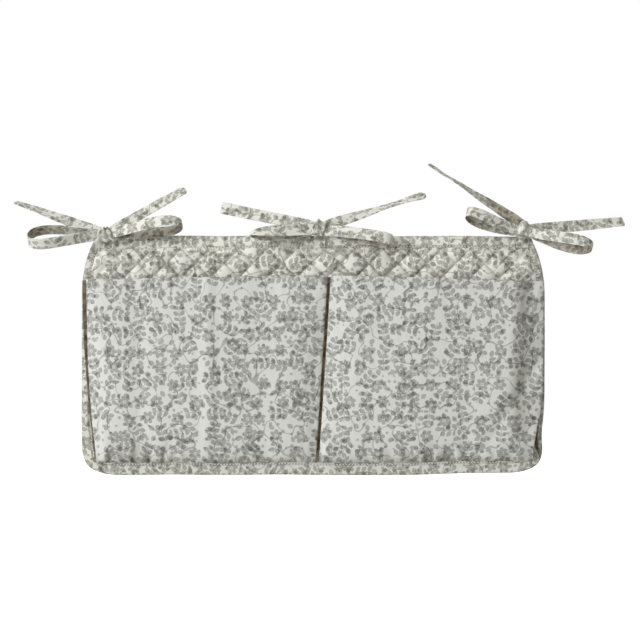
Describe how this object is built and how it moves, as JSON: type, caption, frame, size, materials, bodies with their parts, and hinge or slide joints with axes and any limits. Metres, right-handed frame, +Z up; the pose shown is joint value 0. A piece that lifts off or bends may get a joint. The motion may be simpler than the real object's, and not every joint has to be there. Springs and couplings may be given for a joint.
{
  "type": "crib organizer",
  "caption": "Quilted cotton crib organizer: a bound panel with pleated open-top pockets side by side, hung from a rail by cotton ties knotted as bows.",
  "frame": {"origin": "middle of the panel's top edge, where the ties hold it to the rail", "axes": "+X to the right along the top edge, +Y to the back, +Z up"},
  "size_m": [0.7705, 0.0634, 0.3915],
  "materials": {
    "printed_cotton": "matt woven cotton with a small tonal botanical print",
    "quilted_cotton": "matt woven cotton with the same print, quilted in diamonds",
    "binding_cotton": "matt woven cotton tape, folded and topstitched",
    "wadding": "white polyester wadding"
  },
  "bodies": {
    "panel": {"quilt_face": "quilted_cotton", "quilt_wadding": "wadding", "quilt_lining": "quilted_cotton", "top_binding": "binding_cotton", "edge_binding": "binding_cotton", "left_pocket_outer_pleat": "printed_cotton", "left_pocket_inner_pleat": "printed_cotton", "right_pocket_inner_pleat": "printed_cotton", "right_pocket_outer_pleat": "printed_cotton"},
    "left_pocket": {"left_pocket_front": "printed_cotton", "left_pocket_lining": "printed_cotton"},
    "right_pocket": {"right_pocket_front": "printed_cotton", "right_pocket_lining": "printed_cotton"},
    "left_bow": {"left_tie_tab": "printed_cotton", "left_tie_knot": "printed_cotton", "left_tie_left_loop": "printed_cotton", "left_tie_right_loop": "printed_cotton"},
    "left_bow_left_tail": {"left_tie_left_tail": "printed_cotton"},
    "left_bow_right_tail": {"left_tie_right_tail": "printed_cotton"},
    "middle_bow": {"middle_tie_tab": "printed_cotton", "middle_tie_knot": "printed_cotton", "middle_tie_left_loop": "printed_cotton", "middle_tie_right_loop": "printed_cotton"},
    "middle_bow_left_tail": {"middle_tie_left_tail": "printed_cotton"},
    "middle_bow_right_tail": {"middle_tie_right_tail": "printed_cotton"},
    "right_bow": {"right_tie_tab": "printed_cotton", "right_tie_knot": "printed_cotton", "right_tie_left_loop": "printed_cotton", "right_tie_right_loop": "printed_cotton"},
    "right_bow_left_tail": {"right_tie_left_tail": "printed_cotton"},
    "right_bow_right_tail": {"right_tie_right_tail": "printed_cotton"}
  },
  "joints": [
    {"name": "left_pocket_open", "type": "hinge", "parent": "panel", "child": "left_pocket", "pos_m": [-0.1315, -0.0047, -0.283], "axis": [1, 0, 0], "range_deg": [0, 10], "stiffness_Nm_per_rad": 0.25, "deforming": ["left_pocket_outer_pleat", "left_pocket_inner_pleat"]},
    {"name": "right_pocket_open", "type": "hinge", "parent": "panel", "child": "right_pocket", "pos_m": [0.1408, -0.0047, -0.283], "axis": [1, 0, 0], "range_deg": [0, 10], "stiffness_Nm_per_rad": 0.25, "deforming": ["right_pocket_outer_pleat", "right_pocket_inner_pleat"]},
    {"name": "left_bow_tip", "type": "hinge", "parent": "panel", "child": "left_bow", "pos_m": [-0.259, -0.0044, -0.015], "axis": [1, 0, 0], "range_deg": [0, 60]},
    {"name": "left_bow_left_tail_swing", "type": "hinge", "parent": "left_bow", "child": "left_bow_left_tail", "pos_m": [-0.259, -0.0117, 0.0015], "axis": [0, 1, 0], "range_deg": [-40, 25]},
    {"name": "left_bow_right_tail_swing", "type": "hinge", "parent": "left_bow", "child": "left_bow_right_tail", "pos_m": [-0.259, -0.0117, 0.0015], "axis": [0, -1, 0], "range_deg": [-20, 25]},
    {"name": "middle_bow_tip", "type": "hinge", "parent": "panel", "child": "middle_bow", "pos_m": [0.008, -0.0044, -0.015], "axis": [1, 0, 0], "range_deg": [0, 60]},
    {"name": "middle_bow_left_tail_swing", "type": "hinge", "parent": "middle_bow", "child": "middle_bow_left_tail", "pos_m": [0.008, -0.0117, 0.01], "axis": [0, 1, 0], "range_deg": [-10, 25]},
    {"name": "middle_bow_right_tail_swing", "type": "hinge", "parent": "middle_bow", "child": "middle_bow_right_tail", "pos_m": [0.008, -0.0117, 0.01], "axis": [0, -1, 0], "range_deg": [-15, 8]},
    {"name": "right_bow_tip", "type": "hinge", "parent": "panel", "child": "right_bow", "pos_m": [0.261, -0.0044, -0.015], "axis": [1, 0, 0], "range_deg": [0, 60]},
    {"name": "right_bow_left_tail_swing", "type": "hinge", "parent": "right_bow", "child": "right_bow_left_tail", "pos_m": [0.261, -0.0117, 0.0065], "axis": [0, 1, 0], "range_deg": [-5, 25]},
    {"name": "right_bow_right_tail_swing", "type": "hinge", "parent": "right_bow", "child": "right_bow_right_tail", "pos_m": [0.261, -0.0117, 0.0065], "axis": [0, -1, 0], "range_deg": [-35, 25]}
  ]
}
